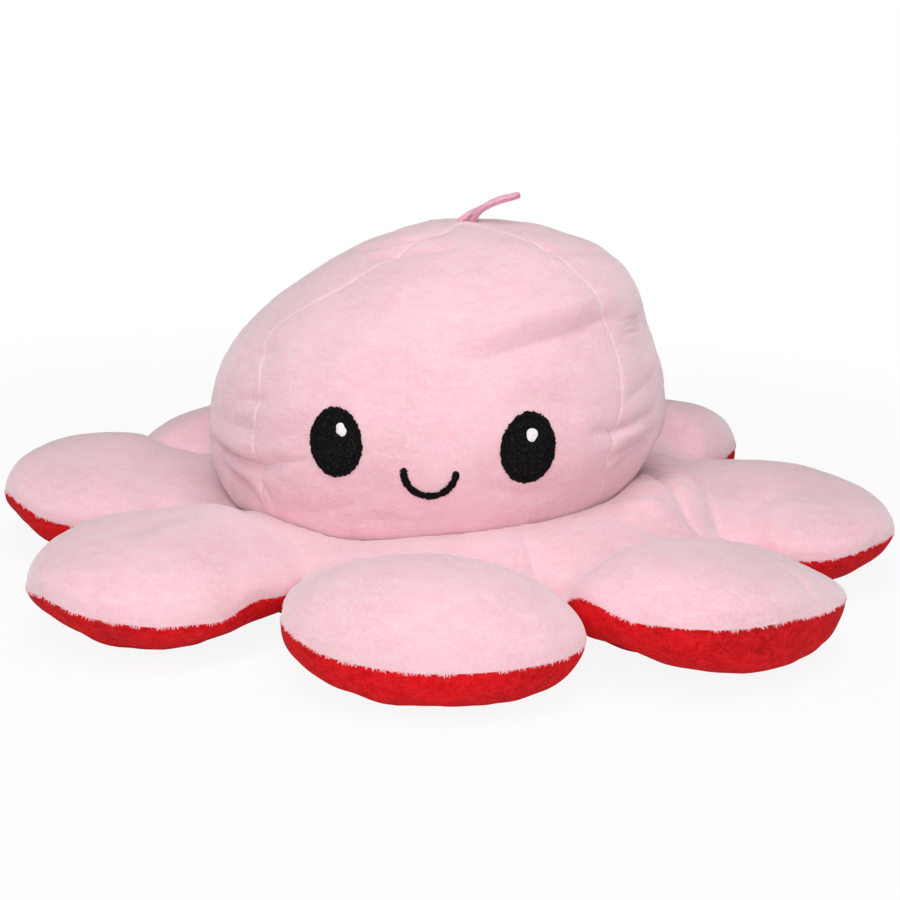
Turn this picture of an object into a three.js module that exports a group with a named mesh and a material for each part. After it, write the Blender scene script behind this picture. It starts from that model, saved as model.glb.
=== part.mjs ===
// Reversible plush octopus, pink side out: a stuffed head over a pocket, a skirt and eight arms.
// Millimetres, +Z up. The octopus rests on z = 0 and its face looks along -Y.
import * as THREE from "three";

// Cloth and sewing
const fabric = 1.6; // short-pile cloth, backing and pile together
const gap = 0.3; // clearance between pieces that touch
const floorCut = 0.5; // how deep the floor presses the soft underside flat

// Arms, each stuffed a little differently. Tip and puff are from the middle of the toy to the tip of
// the arm and to its highest point. Height is that point above the floor, and bulge is how far the
// arm swells past its root on each side.
const arms = {
  front_arm: { tip: 196, puff: 154, height: 48, bulge: 5 },
  front_right_arm: { tip: 200, puff: 150, height: 44.5, bulge: 5.5 },
  right_arm: { tip: 200, puff: 149, height: 42.5, bulge: 2 },
  back_right_arm: { tip: 186, puff: 146, height: 46, bulge: 1.5 },
  back_arm: { tip: 196, puff: 149, height: 43, bulge: 1.5 },
  back_left_arm: { tip: 177, puff: 145, height: 39, bulge: 1.5 },
  left_arm: { tip: 200, puff: 151, height: 43, bulge: 1.5 },
  front_left_arm: { tip: 205, puff: 147, height: 47, bulge: 5.5 },
};
const armRootRadius = 127; // middle of the toy to the crease where an arm bends
const armCornerGap = 0.6; // sideways room between an arm's root and the corner of the skirt
const seamHeight = 21; // seam between the pink and the red cloth above the floor
const creaseTop = 30; // top of the crease between skirt and arm
const creaseBottom = 3; // underside of that crease

// Skirt and neck
const neckRadius = 73;
const neckHeight = 26.5;
const skirtPuffRadius = 105; // middle of the toy to the highest ring of the skirt
const skirtHeight = 34; // highest ring of the skirt above the floor

// Head
const headWidth = 202;
const headDepth = 194;
const headHeight = 150;
const headWidestHeight = 60; // widest part above the floor
const headSlump = -8; // sideways sag of the widest part
const crownShift = 5; // sideways lean of the crown
const crownHole = 5; // radius of the opening for the cord where the four panels meet
const leftShoulderShape = 1.72; // 2 is round, less is slack and more is square
const rightShoulderShape = 2.27;
const lowerHeadShape = 2.5;
const panelTwistDegrees = -2; // turn of the four head panels about the upright axis

// Pocket under the head, where the red side lies inside out
const pocketMouthRadius = 52;
const pocketTop = 106;
const pocketShape = 2.6;
const pocketCrownHole = 1; // radius where the tips of the four lining panels meet

// Embroidered face
const faceLift = 0.35; // clearance of the stitching over the curved cloth
const faceShift = -5.8; // the face sits a little to one side
const eyeSpacing = 74.5;
const eyeLevel = 69.5;
const eyeWidth = 21.5;
const eyeHeight = 29;
const eyeBorder = 2; // width of the satin stitch round an eye
const stitchThickness = 1;
const patchThickness = 0.6;
const highlightWidth = 4.6;
const highlightHeight = 5;
const highlightAcross = 2;
const highlightUp = 5;
const mouthWidth = 19.5;
const mouthDrop = 8.5;
const mouthStroke = 2.6;
const mouthLevel = 63; // ends of the smile above the floor

// Hanging loop of braided cord, from the crown
const cordDiameter = 3;
const loopRoute = [
  [-3, 0, 0.4], [-2.8, 0.6, 2.2], [-0.8, 3.2, 4.4], [5, 4.9, 6.2], [13, 5, 7.8], [19.6, 3.2, 9.4],
  [22.4, 0, 10.6], [19.8, -3.2, 11.1], [13.4, -5, 10.5], [6.8, -4.7, 8.6], [3.6, -2.4, 5.4],
  [3, -0.4, 2.4], [3, 0, 0.4],
];

// Sampling of the surfaces
const weldDistance = 1e-4;
const slopeStep = 0.5;
const bisections = 40;

// Finishes
const pinkCloth = { color: 0xf7c6d2, roughness: 0.95, metalness: 0 };
const redCloth = { color: 0xd3151d, roughness: 0.95, metalness: 0 };
const fibrefill = { color: 0xf4f3ee, roughness: 1, metalness: 0 };
const blackCloth = { color: 0x161616, roughness: 0.9, metalness: 0 };
const blackThread = { color: 0x0c0c0d, roughness: 0.55, metalness: 0 };
const whiteThread = { color: 0xf2f0f0, roughness: 0.6, metalness: 0 };
const pinkCord = { color: 0xeda3be, roughness: 0.7, metalness: 0 };

const armNames = Object.keys(arms);
const panelNames = ["right", "back", "left", "front"];
const fullTurn = 2 * Math.PI;
const quarterTurn = Math.PI / 2;
const armStep = fullTurn / armNames.length;
const panelStep = fullTurn / panelNames.length;
const frontAngle = -quarterTurn;
const firstPanelSeam = -panelStep / 2 + THREE.MathUtils.degToRad(panelTwistDegrees);

const octopus = new THREE.Group();

function addMesh(name, geometry, finish, parent = octopus) {
  const mesh = new THREE.Mesh(geometry, new THREE.MeshStandardMaterial(finish));
  mesh.name = name;
  parent.add(mesh);
}

// Even steps from one value to another
function steps(from, to, count) {
  return Array.from({ length: count + 1 }, (_, i) => from + ((to - from) * i) / count);
}

// Even steps round a circle
function turns(count, start = 0) {
  return steps(start, start + fullTurn, count).slice(1);
}

// A soft rise from 0 to 1
function ease(share) {
  const kept = THREE.MathUtils.clamp(share, 0, 1);
  return (1 - Math.cos(Math.PI * kept)) / 2;
}

// A sheet is a list of rows of points, all of one length.
function makeSheet(rows, columns, point) {
  return rows.map((row) => columns.map((column) => point(row, column)));
}

// A triangle with two corners in one place is left out.
function pushTriangle(points, a, b, c) {
  const sides = [a.distanceTo(b), b.distanceTo(c), c.distanceTo(a)];
  if (Math.min(...sides) > weldDistance) points.push(a, b, c);
}

// Each four-sided cell is cut along the same diagonal, whichever way the sheet faces.
function pushSheet(points, sheet, facesBack = false) {
  for (let i = 0; i + 1 < sheet.length; i++) {
    for (let j = 0; j + 1 < sheet[i].length; j++) {
      const [a, b, c, d] = [sheet[i][j], sheet[i + 1][j], sheet[i + 1][j + 1], sheet[i][j + 1]];
      pushTriangle(points, a, ...(facesBack ? [c, b] : [b, c]));
      pushTriangle(points, a, ...(facesBack ? [d, c] : [c, d]));
    }
  }
}

// The closed surface that the triangles make, with its faces pointing out
function geometryFrom(points) {
  let volume = 0;
  for (let i = 0; i < points.length; i += 3) {
    volume += points[i].dot(new THREE.Vector3().crossVectors(points[i + 1], points[i + 2]));
  }
  const order = volume > 0 ? [0, 1, 2] : [0, 2, 1];
  const flat = [];
  for (let i = 0; i < points.length; i += 3) {
    order.forEach((k) => flat.push(...points[i + k].toArray()));
  }
  const geometry = new THREE.BufferGeometry();
  geometry.setAttribute("position", new THREE.Float32BufferAttribute(flat, 3));
  geometry.computeVertexNormals();
  return geometry;
}

// The solid between two sheets with the same rows and columns. In a ring the columns close up.
function solidBetween(outerSheet, innerSheet, isRing = false) {
  const close = (row) => (isRing ? [...row, row[0]] : row);
  const [outer, inner] = [outerSheet.map(close), innerSheet.map(close)];
  const points = [];
  const last = outer.length - 1;
  pushSheet(points, outer);
  pushSheet(points, inner, true);
  pushSheet(points, [inner[0], outer[0]]);
  pushSheet(points, [outer[last], inner[last]]);
  if (!isRing) {
    pushSheet(points, outer.map((row, i) => [inner[i][0], row[0]]));
    pushSheet(points, outer.map((row, i) => [row.at(-1), inner[i].at(-1)]));
  }
  return geometryFrom(points);
}

// A tube through rings of points. It closes on itself or ends in two flat caps.
function tubeThrough(rings, isLoop) {
  const points = [];
  const closed = rings.map((ring) => [...ring, ring[0]]);
  pushSheet(points, isLoop ? [...closed, closed[0]] : closed);
  if (!isLoop) {
    const middleOf = (ring) => {
      const sum = ring.reduce((total, p) => total.add(p), new THREE.Vector3());
      return sum.divideScalar(ring.length);
    };
    const cap = (ring) => ring.map(() => middleOf(ring.slice(1)));
    pushSheet(points, [cap(closed[0]), closed[0]]);
    pushSheet(points, [closed.at(-1), cap(closed.at(-1))]);
  }
  return geometryFrom(points);
}

// Arms. Each is drawn pointing along +X. Its rows run from the root round to the tip, and its
// columns run across. The side is 1 for the pink top and -1 for the red underside.
const armRootHalfWidth = armRootRadius * Math.tan(armStep / 2) - armCornerGap;
const crossFullness = 0.8; // 1 is a round cross-section, less is a fuller one
const armColumns = steps(-quarterTurn, quarterTurn, 8);

// How full the cross-section is at a share of its half-width
function fullness(acrossShare) {
  return Math.max(0, 1 - acrossShare ** 2) ** (crossFullness / 2);
}

// The turn is 0 where an arm is widest and highest, and a quarter turn at its tip.
function armRootTurn(arm) {
  return -Math.acos(armRootHalfWidth / (armRootHalfWidth + arm.bulge));
}

// Height of an arm's middle line over the seam, or depth of it under the seam
function armSwell(arm, turn, side) {
  const full = side > 0 ? arm.height - seamHeight : seamHeight + floorCut;
  const root = side > 0 ? creaseTop - seamHeight : seamHeight - creaseBottom;
  if (turn > 0) return full * Math.cos(turn) ** crossFullness;
  return full - (full - root) * ease(turn / armRootTurn(arm));
}

function armPoint(arm, turn, cross, side, inset, seamGap) {
  const backReach = (arm.puff - armRootRadius) / Math.sin(-armRootTurn(arm));
  const reach = turn > 0 ? arm.tip - arm.puff - inset : backReach;
  const halfWidth = (armRootHalfWidth + arm.bulge - inset) * Math.cos(turn);
  const swell = Math.max(0, armSwell(arm, turn, side) - inset * Math.cos(Math.max(0, turn)));
  const z = seamHeight + side * (seamGap + swell * fullness(Math.sin(cross)));
  return new THREE.Vector3(
    arm.puff + reach * Math.sin(turn),
    halfWidth * Math.sin(cross),
    side > 0 ? z : Math.max(inset, z),
  );
}

function armSheet(arm, side, inset, seamGap) {
  const rows = steps(armRootTurn(arm), quarterTurn, 7);
  return makeSheet(rows, armColumns, (turn, cross) => armPoint(arm, turn, cross, side, inset, seamGap));
}

function addArm(name, angle) {
  const group = new THREE.Group();
  group.rotation.z = angle;
  octopus.add(group);
  const sheet = (side, inset, seamGap) => armSheet(arms[name], side, inset, seamGap);
  const top = solidBetween(sheet(1, 0, gap / 2), sheet(1, fabric, gap / 2));
  const underside = solidBetween(sheet(-1, 0, gap / 2), sheet(-1, fabric, gap / 2));
  const filling = solidBetween(sheet(1, fabric + gap, 0), sheet(-1, fabric + gap, 0));
  addMesh(`${name}_top`, top, pinkCloth, group);
  addMesh(`${name}_underside`, underside, redCloth, group);
  addMesh(`${name}_filling`, filling, fibrefill, group);
}

armNames.forEach((name, i) => addArm(name, frontAngle + i * armStep));

// Skirt. It fills the octagon between the roots of the arms and meets them face to face.
const skirtColumns = turns(4 * armNames.length, frontAngle - armStep / 2);
const skirtShares = [0, 0.24, 0.46, 0.66, 0.84, 1]; // rows from the neck out to the arms

// Where a direction crosses the octagon, with 0 in the middle of a side and 1 or -1 at its ends
function skirtEdge(angle) {
  const sides = (angle - frontAngle) / armStep;
  const turn = (sides - Math.round(sides)) * armStep;
  return {
    radius: (armRootRadius - gap) / Math.cos(turn),
    acrossShare: Math.tan(turn) / Math.tan(armStep / 2),
  };
}

// Towards a corner of the octagon the cloth runs down, or up, to the seam.
function skirtSwell(radius, angle, side) {
  const edge = skirtEdge(angle);
  const edgeShare = ease((radius - skirtPuffRadius) / (edge.radius - skirtPuffRadius));
  const drawnIn = 1 - (1 - fullness(edge.acrossShare)) * edgeShare;
  if (side < 0) return (seamHeight + floorCut - (floorCut + creaseBottom) * edgeShare) * drawnIn;
  const rise = ease((radius - neckRadius) / (skirtPuffRadius - neckRadius));
  const ring = neckHeight + (skirtHeight - neckHeight) * rise;
  return (ring - (skirtHeight - creaseTop) * edgeShare - seamHeight) * drawnIn;
}

function skirtPoint(radius, angle, side, inset, seamGap) {
  const swell = Math.max(0, skirtSwell(radius, angle, side) - inset);
  const z = seamHeight + side * (seamGap + swell);
  return new THREE.Vector3(
    radius * Math.cos(angle),
    radius * Math.sin(angle),
    side > 0 ? z : Math.max(inset, z),
  );
}

function skirtSheet(innerRadius, side, inset, seamGap) {
  const innerRow = skirtColumns.map((angle) => skirtPoint(innerRadius, angle, side, inset, seamGap));
  const rows = makeSheet(skirtShares, skirtColumns, (share, angle) => {
    const radius = neckRadius + (skirtEdge(angle).radius - neckRadius) * share;
    return skirtPoint(radius, angle, side, inset, seamGap);
  });
  return [innerRow, ...rows];
}

function addSkirt() {
  const deep = fabric + gap;
  const top = [0, fabric].map((inset) => skirtSheet(neckRadius - fabric, 1, inset, gap / 2));
  const under = [0, fabric].map((inset) => skirtSheet(pocketMouthRadius, -1, inset, gap / 2));
  const filling = [1, -1].map((side) => skirtSheet(pocketMouthRadius + deep, side, deep, 0));
  addMesh("skirt_top", solidBetween(...top, true), pinkCloth);
  addMesh("skirt_underside", solidBetween(...under, true), redCloth);
  addMesh("skirt_filling", solidBetween(...filling, true), fibrefill);
}

addSkirt();

// Head. The rise is -1 at the neck, 0 at the widest part and 1 at the crown.
const headRises = [-1, -0.66, -0.33, 0, 0.15, 0.3, 0.45, 0.6, 0.75, 0.88, 1];
const panelShares = steps(0, 1, 6);
const neckRim = neckHeight + gap;

function headGirth(angle) {
  return 1 / Math.hypot((2 * Math.cos(angle)) / headWidth, (2 * Math.sin(angle)) / headDepth);
}

function shoulderShape(angle) {
  const middle = (rightShoulderShape + leftShoulderShape) / 2;
  return middle + ((rightShoulderShape - leftShoulderShape) / 2) * Math.cos(angle);
}

// Sideways place of the head's middle at a height
function headMiddle(z) {
  if (z < headWidestHeight) return headSlump * ease((z - neckRim) / (headWidestHeight - neckRim));
  const share = (z - headWidestHeight) / (headHeight - headWidestHeight);
  return headSlump + (crownShift - headSlump) * share;
}

// Half-height of the lower head, so that its curve ends on the neck
function lowerReach(girth, inset) {
  const neckShare = (neckRadius - inset) / girth;
  return (headWidestHeight - neckRim) / (1 - neckShare ** lowerHeadShape) ** (1 / lowerHeadShape);
}

function headPoint(angle, rise, inset, hole) {
  const girth = headGirth(angle) - inset;
  const shape = rise > 0 ? shoulderShape(angle) : lowerHeadShape;
  const endRadius = rise > 0 ? hole : neckRadius - inset;
  const turn = Math.abs(rise) * Math.acos((endRadius / girth) ** (shape / 2));
  const reach = rise > 0 ? headHeight - inset - headWidestHeight : -lowerReach(girth, inset);
  const radius = girth * Math.cos(turn) ** (2 / shape);
  const z = headWidestHeight + reach * Math.sin(turn) ** (2 / shape);
  return new THREE.Vector3(headMiddle(z) + radius * Math.cos(angle), radius * Math.sin(angle), z);
}

// Pocket. The rise is 0 at the mouth and 1 at the top.
const pocketFoot = fabric + gap;
const pocketRises = steps(0, 1, 6);

function pocketPoint(angle, rise, outset, hole, foot = pocketFoot) {
  const girth = pocketMouthRadius + outset;
  const reach = pocketTop + outset - pocketFoot;
  const start = Math.asin(((foot - pocketFoot) / reach) ** (pocketShape / 2));
  const end = Math.acos((hole / girth) ** (pocketShape / 2));
  const turn = start + (end - start) * rise;
  const radius = girth * Math.cos(turn) ** (2 / pocketShape);
  const z = pocketFoot + reach * Math.sin(turn) ** (2 / pocketShape);
  return new THREE.Vector3(radius * Math.cos(angle), radius * Math.sin(angle), z);
}

// A panel between two seams, with half a gap kept beside each seam
function panelSheet(panel, rises, point) {
  return makeSheet(rises, panelShares, (rise, share) => {
    const seams = [panel, panel + 1].map((i) => firstPanelSeam + i * panelStep);
    const [start, end] = seams.map((seam, i) => {
      const p = point(seam, rise);
      const opposite = point(seam + Math.PI, rise);
      const radius = Math.hypot(p.x - opposite.x, p.y - opposite.y) / 2;
      return seam + (i === 0 ? 1 : -1) * Math.asin(gap / 2 / radius);
    });
    return point(start + (end - start) * share, rise);
  });
}

function addHead() {
  panelNames.forEach((name, i) => {
    const head = [0, fabric].map((inset) =>
      panelSheet(i, headRises, (angle, rise) => headPoint(angle, rise, inset, crownHole)));
    const lining = [fabric, 0].map((outset) =>
      panelSheet(i, pocketRises, (angle, rise) => pocketPoint(angle, rise, outset, pocketCrownHole)));
    addMesh(`head_panel_${name}`, solidBetween(...head), pinkCloth);
    addMesh(`lining_panel_${name}`, solidBetween(...lining), redCloth);
  });
  const around = turns(panelNames.length * (panelShares.length - 1), firstPanelSeam);
  const rows = steps(0, 1, headRises.length - 1);
  const slack = fabric + 3 * gap;
  const outer = makeSheet(headRises, around, (rise, angle) => headPoint(angle, rise, slack, 0));
  const inner = makeSheet(rows, around, (rise, angle) => pocketPoint(angle, rise, slack, 0, neckRim));
  addMesh("head_filling", solidBetween(outer, inner, true), fibrefill);
}

addHead();

// Face. Its pieces are placed by their sideways place and height, and lie on the front of the head.
function headRadius(angle, z) {
  const girth = headGirth(angle);
  const above = z > headWidestHeight;
  const shape = above ? shoulderShape(angle) : lowerHeadShape;
  const reach = above ? headHeight - headWidestHeight : lowerReach(girth, 0);
  const share = Math.abs(z - headWidestHeight) / reach;
  return girth * (1 - share ** shape) ** (1 / shape);
}

function headFront(x, z) {
  let [low, high] = [-Math.PI, 0];
  for (let i = 0; i < bisections; i++) {
    const middle = (low + high) / 2;
    if (headMiddle(z) + headRadius(middle, z) * Math.cos(middle) < x) low = middle;
    else high = middle;
  }
  const radius = headRadius(low, z);
  return new THREE.Vector3(headMiddle(z) + radius * Math.cos(low), radius * Math.sin(low), z);
}

// A point over the front of the head, lifted square to the cloth
function overFace(x, z, lift) {
  const across = headFront(x + slopeStep, z).sub(headFront(x - slopeStep, z));
  const up = headFront(x, z + slopeStep).sub(headFront(x, z - slopeStep));
  return headFront(x, z).addScaledVector(across.cross(up).normalize(), lift);
}

// A thin oval that follows the head
function ovalPatch(x, z, halfWidth, halfHeight, lift, thickness, sides) {
  const around = turns(sides);
  const sheets = [lift + thickness, lift].map((height) =>
    makeSheet([0, 0.5, 1], around, (share, angle) => overFace(
      x + share * halfWidth * Math.cos(angle),
      z + share * halfHeight * Math.sin(angle),
      height,
    )));
  return solidBetween(...sheets, true);
}

// A raised band of satin stitch. The middle line gives a point and the direction across the band.
function satinBand(places, stroke, isLoop) {
  const around = turns(6);
  const rings = places.map(({ x, z, acrossX, acrossZ }) => around.map((angle) => {
    const side = (stroke / 2) * Math.cos(angle);
    const lift = faceLift + (stitchThickness / 2) * (1 + Math.sin(angle));
    return overFace(x + side * acrossX, z + side * acrossZ, lift);
  }));
  return tubeThrough(rings, isLoop);
}

function addEye(name, x) {
  const halfWidth = eyeWidth / 2 - eyeBorder / 2;
  const halfHeight = eyeHeight / 2 - eyeBorder / 2;
  const trim = eyeBorder / 2 + gap;
  const places = turns(24).map((angle) => ({
    x: x + halfWidth * Math.cos(angle),
    z: eyeLevel + halfHeight * Math.sin(angle),
    acrossX: Math.cos(angle),
    acrossZ: Math.sin(angle),
  }));
  const patch = ovalPatch(x, eyeLevel, halfWidth - trim, halfHeight - trim, faceLift, patchThickness, 16);
  const highlight = ovalPatch(
    x + highlightAcross, eyeLevel + highlightUp, highlightWidth / 2, highlightHeight / 2,
    faceLift + patchThickness + gap, patchThickness, 12,
  );
  addMesh(`${name}_patch`, patch, blackCloth);
  addMesh(`${name}_border`, satinBand(places, eyeBorder, true), blackThread);
  addMesh(`${name}_highlight`, highlight, whiteThread);
}

// The smile is half an oval, thinner towards its ends.
function addMouth() {
  const places = steps(-Math.PI, 0, 14).map((angle) => ({
    x: faceShift + (mouthWidth / 2) * Math.cos(angle),
    z: mouthLevel + mouthDrop * Math.sin(angle),
    acrossX: Math.cos(angle),
    acrossZ: Math.sin(angle),
  }));
  addMesh("smile", satinBand(places, mouthStroke, false), blackThread);
}

addEye("left_eye", faceShift - eyeSpacing / 2);
addEye("right_eye", faceShift + eyeSpacing / 2);
addMouth();

// Hanging loop. Both ends of the cord go down into the crown between the tips of the panels.
function addHangLoop() {
  const corners = loopRoute.map((place) => new THREE.Vector3(...place));
  const ends = [corners[0], corners.at(-1)].map((end) => end.clone().setZ(-fabric));
  const route = new THREE.CatmullRomCurve3([ends[0], ...corners, ends[1]], false, "centripetal");
  const section = new THREE.Shape().absarc(0, 0, cordDiameter / 2, 0, fullTurn);
  const options = { curveSegments: 4, steps: 32, extrudePath: route };
  const cord = new THREE.Group();
  cord.position.set(crownShift, 0, headHeight);
  octopus.add(cord);
  addMesh("hang_loop", new THREE.ExtrudeGeometry(section, options), pinkCord, cord);
}

addHangLoop();

export default octopus;
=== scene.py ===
"""Reversible plush octopus, pink side out. Metres, +Z up, face along -Y, resting on z = 0."""
import math
import random

import bmesh
import bpy
import numpy as np
from mathutils import Matrix, Vector, noise
from mathutils.bvhtree import BVHTree


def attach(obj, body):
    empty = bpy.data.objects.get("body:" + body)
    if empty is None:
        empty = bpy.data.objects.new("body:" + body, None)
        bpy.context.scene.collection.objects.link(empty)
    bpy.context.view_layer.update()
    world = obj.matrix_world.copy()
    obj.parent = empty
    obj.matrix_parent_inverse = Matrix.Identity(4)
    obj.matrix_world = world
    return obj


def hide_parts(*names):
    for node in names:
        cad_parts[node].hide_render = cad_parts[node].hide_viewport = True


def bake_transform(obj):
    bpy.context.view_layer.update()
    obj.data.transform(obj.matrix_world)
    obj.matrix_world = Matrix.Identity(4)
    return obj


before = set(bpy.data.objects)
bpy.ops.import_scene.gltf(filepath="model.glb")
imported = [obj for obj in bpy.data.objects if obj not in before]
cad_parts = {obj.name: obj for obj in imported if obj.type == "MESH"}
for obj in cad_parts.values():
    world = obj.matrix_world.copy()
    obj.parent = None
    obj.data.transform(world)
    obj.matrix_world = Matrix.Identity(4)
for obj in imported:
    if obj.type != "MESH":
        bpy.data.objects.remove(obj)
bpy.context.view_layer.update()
MM = 0.001

# ---------------------------------------------------------------------------------------------
# Head. Four gores of short-pile pink cloth, sewn along four curved seams that meet at the crown
# and stuffed loosely, so it slumps to one side and creases. Its lower edge is sewn to the skirt.
# ---------------------------------------------------------------------------------------------


def smooth_through(values, share):
    """A smooth curve through evenly spaced values, read at shares from 0 to 1."""
    values = np.asarray(values, float)
    last = len(values) - 1
    padded = np.concatenate([[2 * values[0] - values[1]], values, [2 * values[-1] - values[-2]]])
    place = np.clip(np.asarray(share, float) * last, 0, last - 1e-9)
    step = place.astype(int)
    part = place - step
    before, start, end, after = (padded[step + i] for i in range(4))
    bend = 2 * before - 5 * start + 4 * end - after + part * (3 * (start - end) + after - before)
    return start + part / 2 * (end - before + part * bend)


def smooth_route(corners, count):
    """Points on a smooth line through corners of any number of coordinates."""
    share = np.linspace(0, 1, count)
    return np.stack([smooth_through(axis, share) for axis in np.asarray(corners, float).T], -1)


# From the neck to the crown: height, and how far the head reaches to its left, right and front, in mm
head_height = [26, 28.5, 40, 52, 66, 85, 105, 125, 139, 146, 148]
head_left = [-74, -96.5, -103, -105, -105, -99.5, -84.5, -59.5, -34, -15, 5]
head_right = [70, 77.5, 84, 90, 95.7, 93.5, 86, 79, 63, 37, 5]
head_front = [73, 89.5, 96.3, 98.8, 99, 94, 82, 65, 45, 25, 0]


def head_point(degrees, rise):
    height, left, right, front = (
        smooth_through(values, rise) * MM
        for values in (head_height, head_left, head_right, head_front)
    )
    turn = np.radians(degrees)
    across = (left + right) / 2 + (right - left) / 2 * np.cos(turn)
    return np.stack([across, front * np.sin(turn), height + 0 * turn], -1)


# Directions of the four seams from the neck to the crown, in degrees about +Z
head_seams = [
    [-42, -41, -40, -42, -45, -40.5, -38.5, -46, -53.5, -64, -75],
    [47, 46, 45, 44, 45, 46, 45, 43, 42, 42, 42],
    [137, 136, 137, 139, 140, 138, 136, 135, 136, 138, 140],
    [224, 226, 226.5, 225, 222.5, 220, 208.5, 218, 223.5, 232, 236],
]
head_seams.append([degrees + 360 for degrees in head_seams[0]])
panel_names = ["right", "back", "left", "front"]
panel_columns = 120
panel_rows = 240

head_rise = np.linspace(0, 1, panel_rows)[:, None]
# Columns lie closer together beside a seam
column_share = (1 - np.cos(np.pi * np.linspace(0, 1, panel_columns + 1))) / 2
head_degrees = []
for seam, next_seam in zip(head_seams, head_seams[1:]):
    start, end = (smooth_through(values, head_rise) for values in (seam, next_seam))
    head_degrees.append((start + (end - start) * column_share)[:, :-1])
head_degrees = np.concatenate(head_degrees, axis=1)
head_points = head_point(head_degrees, head_rise)


def sheet_normals(points, is_ring=False):
    """Unit normals of rows and columns of points. In a ring the last column meets the first."""
    if is_ring:
        across = np.roll(points, -1, axis=1) - np.roll(points, 1, axis=1)
    else:
        across = np.gradient(points, axis=1)
    normals = np.cross(across, np.gradient(points, axis=0))
    length = np.linalg.norm(normals, axis=-1, keepdims=True)
    return normals / np.maximum(length, 1e-12)


# A crease has a sharper bottom than a ridge has a top. Both die out towards their ends.
crease_sharpness = 1.3
ridge_sharpness = 2
end_fade = 0.6


def near_route(points, route, width, sharpness):
    """1 on a route, fading over the width beside it and towards both of its ends."""
    near = np.zeros(points.shape[:-1])
    last = len(route) - 1
    for i, (start, end) in enumerate(zip(route, route[1:])):
        step = end - start
        share = np.clip((points - start) @ step / (step @ step), 0, 1)
        distance = np.linalg.norm(points - start - share[..., None] * step, axis=-1)
        fade = np.sin(np.pi * (i + share) / last) ** end_fade
        near = np.maximum(near, fade * np.exp(-((distance / width) ** sharpness)))
    return near


def lumps(points, size, offset=0.0):
    """Uneven filling: smooth noise from -1 to 1, with lumps of about that size."""
    flat = (points / size + offset).reshape(-1, 3)
    return np.array([noise.noise(Vector(p)) for p in flat]).reshape(points.shape[:-1])


# Creases and dents: depth and half-width in mm, and the places as degrees and rise. A depth under
# zero is a ridge.
head_creases = [
    # The big fold that runs in from the right seam, and three small puckers beside the seam
    (-3.0, 8, [(-90, 0.63), (-80, 0.65), (-72, 0.67), (-61, 0.684), (-48, 0.696), (-34, 0.7)]),
    (3.4, 4.6, [
        (-94, 0.596), (-87, 0.598), (-78, 0.61), (-66, 0.63), (-54, 0.64), (-42, 0.652), (-33, 0.655),
    ]),
    (1.4, 9, [(-88, 0.57), (-77, 0.582), (-65, 0.6), (-56, 0.606), (-45, 0.61), (-35, 0.62)]),
    (1.4, 6, [(-79, 0.509), (-69, 0.519), (-61, 0.516), (-50, 0.504)]),
    (1.2, 0.9, [(-35, 0.644), (-27, 0.642), (-15, 0.637)]),
    (1.2, 0.9, [(-34, 0.631), (-27, 0.63), (-16, 0.626)]),
    (1.2, 0.9, [(-34, 0.618), (-27, 0.618), (-18, 0.614)]),
    # The right side, where the head leans on the skirt
    (3.0, 2.2, [(-52, 0.45), (-47, 0.449), (-44, 0.44), (-40, 0.444), (-34, 0.449), (-23, 0.454)]),
    (-1.3, 3, [(-44, 0.42), (-38, 0.425), (-30, 0.43)]),
    (2.8, 2.2, [(-47, 0.383), (-42, 0.383), (-38, 0.393), (-32, 0.398), (-22, 0.41)]),
    (2.2, 2.4, [(-43, 0.322), (-38, 0.348), (-34, 0.363), (-24, 0.38)]),
    (1.6, 4, [(-40, 0.494), (-32, 0.506), (-20, 0.521)]),
    (2.0, 2.8, [(-78, 0.333), (-72, 0.324), (-68, 0.304), (-64, 0.299), (-57, 0.3)]),
    # The crown
    (1.7, 2.4, [(-60, 0.84), (-57, 0.83), (-50, 0.812), (-34, 0.81), (-12, 0.798), (4, 0.763)]),
    (2.1, 2.6, [(-192, 0.738), (-167, 0.778), (-153, 0.81), (-144, 0.844), (-134, 0.881), (-116, 0.94)]),
    (-1.3, 3, [(-162, 0.76), (-146, 0.793), (-136, 0.825), (-122, 0.865)]),
    (1.5, 2.6, [(-160, 0.752), (-152, 0.764), (-137, 0.783), (-124, 0.805), (-106, 0.838)]),
    # Pinches along the left seam, and the deep ones where the head is pushed down
    (2.3, 4, [(-156, 0.546), (-148, 0.561), (-142, 0.575)]),
    (1.7, 3, [(-149, 0.464), (-142, 0.474), (-136, 0.482)]),
    (1.5, 3.5, [(-155, 0.405), (-144, 0.415), (-137, 0.42)]),
    (-1.6, 5, [(-156, 0.36), (-146, 0.355), (-137, 0.36)]),
    (4.2, 2.3, [
        (-162, 0.327), (-155, 0.322), (-144, 0.321), (-138, 0.321), (-134, 0.324), (-128, 0.353),
        (-119, 0.38),
    ]),
    (-1.4, 4, [(-152, 0.29), (-144, 0.285), (-137, 0.27)]),
    (3.4, 3.6, [
        (-158, 0.277), (-152, 0.267), (-146, 0.249), (-141, 0.232), (-138, 0.205), (-135, 0.15),
    ]),
    (1.6, 2.4, [(-137, 0.272), (-133, 0.255), (-131, 0.222), (-130, 0.18)]),
    (1.1, 4, [(-116, 0.295), (-110, 0.319), (-107, 0.343), (-103, 0.365)]),
    (1.9, 5, [(-126, 0.19), (-121, 0.2), (-116, 0.207), (-108, 0.249), (-104, 0.289), (-98, 0.325)]),
    (-1.3, 7, [(-120, 0.14), (-108, 0.165), (-98, 0.175), (-88, 0.18)]),
    (1.5, 5, [(-114, 0.168), (-105, 0.195), (-98, 0.212), (-92, 0.215), (-84, 0.238)]),
]
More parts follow.
